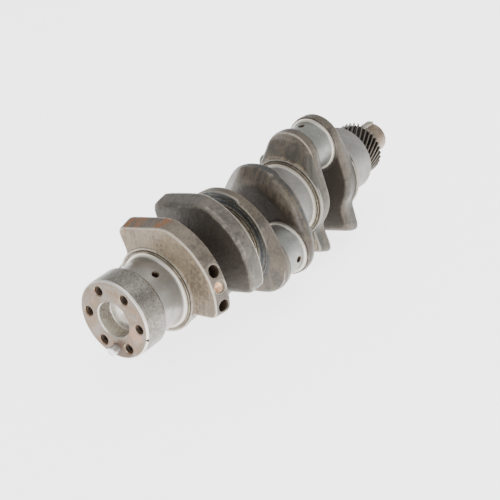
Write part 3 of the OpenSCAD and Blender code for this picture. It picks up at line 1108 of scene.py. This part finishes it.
def ring_of_copies_tree(name, material):
    """Copies one mesh round the main axis, turns it with its place along the axis, and joins it."""
    tree = bpy.data.node_groups.new(name, "GeometryNodeTree")
    face = tree.interface
    face.new_socket("Blank", in_out="INPUT", socket_type="NodeSocketGeometry")
    face.new_socket("Count", in_out="INPUT", socket_type="NodeSocketInt").default_value = 6
    for label in ("Twist per Metre", "Twist From"):
        face.new_socket(label, in_out="INPUT", socket_type="NodeSocketFloat")
    face.new_socket("Ring", in_out="OUTPUT", socket_type="NodeSocketGeometry")
    nodes, links = tree.nodes, tree.links
    given, result = nodes.new("NodeGroupInput"), nodes.new("NodeGroupOutput")

    line = nodes.new("GeometryNodeMeshLine")
    line.inputs["Offset"].default_value = (0, 0, 0)
    links.new(given.outputs["Count"], line.inputs["Count"])
    index = nodes.new("GeometryNodeInputIndex")
    turn = math_node(tree, "DIVIDE", times(tree, index.outputs[0], 2 * math.pi), given.outputs["Count"])
    angles = nodes.new("ShaderNodeCombineXYZ")
    links.new(turn, angles.inputs["X"])
    copies = nodes.new("GeometryNodeInstanceOnPoints")
    links.new(line.outputs["Mesh"], copies.inputs["Points"])
    links.new(given.outputs["Blank"], copies.inputs["Instance"])
    links.new(angles.outputs["Vector"], copies.inputs["Rotation"])
    real = nodes.new("GeometryNodeRealizeInstances")
    links.new(copies.outputs["Instances"], real.inputs["Geometry"])
    place = nodes.new("GeometryNodeInputPosition")
    split = nodes.new("ShaderNodeSeparateXYZ")
    links.new(place.outputs[0], split.inputs[0])
    along = minus(tree, split.outputs["X"], given.outputs["Twist From"])
    twist = times(tree, along, given.outputs["Twist per Metre"])
    rotate = nodes.new("ShaderNodeVectorRotate")
    rotate.rotation_type = "X_AXIS"
    links.new(place.outputs[0], rotate.inputs["Vector"])
    links.new(twist, rotate.inputs["Angle"])
    move = nodes.new("GeometryNodeSetPosition")
    links.new(real.outputs["Geometry"], move.inputs["Geometry"])
    links.new(rotate.outputs["Vector"], move.inputs["Position"])
    paint = nodes.new("GeometryNodeSetMaterial")
    paint.inputs["Material"].default_value = material
    links.new(move.outputs["Geometry"], paint.inputs["Geometry"])
    links.new(paint.outputs["Geometry"], result.inputs["Ring"])
    return tree


def ring_of_copies(name, vertices, faces, material, **values):
    """Runs the ring tree on a blank mesh and bakes the result to a plain mesh."""
    piece = new_piece(name, vertices, faces, [material])
    tree = ring_of_copies_tree(name + "_ring", material)
    modifier = piece.modifiers.new("ring", "NODES")
    modifier.node_group = tree
    for label, value in values.items():
        modifier[socket_id(tree, label.replace("_", " "))] = value
    piece.update_tag()
    bake_modifiers(piece)
    sharpen(piece, 34)
    return piece


def tooth_blank(x0, x1, root, tip):
    """One straight gear tooth from below the root to the tip, cut into slices along the axis."""
    step = 2 * math.pi / TEETH
    outline = [(root - 1.0, -0.34), (root, -0.32), (root + 0.4, -0.29), (root + 1.0, -0.265),
               ((root + tip) / 2, -0.23), (tip - 0.8, -0.18), (tip - 0.2, -0.14), (tip, -0.11)]
    outline = outline + [(r, -s) for r, s in reversed(outline)]
    slices = [x0, x0 + 0.5] + list(np.linspace(x0 + 2.5, x1 - 2.5, 9)) + [x1 - 0.5, x1]
    vertices, faces = [], []
    for number, x in enumerate(slices):
        trim = 0.45 if number in (0, len(slices) - 1) else 0.0
        for r, share in outline:
            low = r - trim if r > root + 0.6 else r
            vertices.append((x, low * math.cos(share * step), low * math.sin(share * step)))
    n = len(outline)
    for row in range(len(slices) - 1):
        for i in range(n):
            j = (i + 1) % n
            faces.append((row * n + i, row * n + j, (row + 1) * n + j, (row + 1) * n + i))
    faces.append(tuple(reversed(range(n))))
    faces.append(tuple(range((len(slices) - 1) * n, len(slices) * n)))
    return vertices, faces


def make_gear():
    low, high = extent("crank_gear")
    root = GEAR_R - TOOTH_DEPTH
    vertices, faces = tooth_blank(low.x, high.x, root, GEAR_R)
    helix = math.tan(math.radians(HELIX_ANGLE)) / ((GEAR_R - 1.35) * MM)
    teeth = ring_of_copies("helical_gear_teeth", vertices, faces, GEAR, Count=TEETH,
                           Twist_From=low.x * MM, Twist_per_Metre=-helix)
    body = [(low.x, SEAT_R), (low.x, root - 0.8), (low.x + 0.8, root), (high.x - 0.8, root),
            (high.x, root - 0.8), (high.x, 19.5), (high.x - 1.2, 19.0), (high.x - 1.2, SEAT_R + 1.2),
            (high.x, SEAT_R + 0.6), (high.x, SEAT_R), (low.x, SEAT_R)]
    hub = turned_piece("gear_hub", body, [GEAR], segments=144)
    for piece in (teeth, hub):
        finish_piece(piece, "gear_steel", "crank_gear")


def thread_blank():
    """Thread crests standing in from one tapped hole's wall, as a thin closed coil."""
    per_turn, first = 28, 1.4
    rows = THREAD_TURNS * per_turn
    vertices, faces = [], []
    for i in range(rows + 1):
        a = 2 * math.pi * i / per_turn
        x = first + THREAD_PITCH * i / per_turn
        fade = min(1.0, i / per_turn, (rows - i) / per_turn)
        root, crest = BOLT_R + 0.25, BOLT_R - 0.62 * fade
        for dx, r in ((-0.55, root), (-0.08, crest), (0.08, crest), (0.55, root)):
            vertices.append((x + dx, BOLT_CIRCLE_R + r * math.cos(a), r * math.sin(a)))
    for row in range(rows):
        for i in range(4):
            j = (i + 1) % 4
            faces.append((row * 4 + i, row * 4 + j, row * 4 + 4 + j, row * 4 + 4 + i))
    faces += [(3, 2, 1, 0), (rows * 4, rows * 4 + 1, rows * 4 + 2, rows * 4 + 3)]
    return vertices, faces


def make_threads():
    vertices, faces = thread_blank()
    # Thread crests take the hole finish: dark oil and painted shade.
    threads = ring_of_copies("flange_threads", vertices, faces, OILY_SHADED_HOLE, Count=6)
    finish_piece(threads, "flange_face")


# ---------------------------------------------------------------- build

set_camera()
set_light()
add_floor(cad_box[0].z - 0.5 * MM)

make_flange()
make_threads()
make_dowel()
for number, oil_angle in ((1, 118), (2, 150), (3, 30), (4, 270)):
    make_journal(number, oil_angle)
for number, oil_angle, oil_shift in ((1, 302, 0), (2, 182, 4), (3, 81, 1.5)):
    make_crankpin(number, oil_angle, oil_shift)
for number in range(1, 7):
    make_collar(number)
web_finishes = (WEB_TAN, WEB_GREY, WEB_OILY, WEB_OILY, WEB_OLIVE, WEB_OLIVE)
for number, finish in enumerate(web_finishes, 1):
    forge_web(number, finish)
make_nose()
make_key()
make_gear()
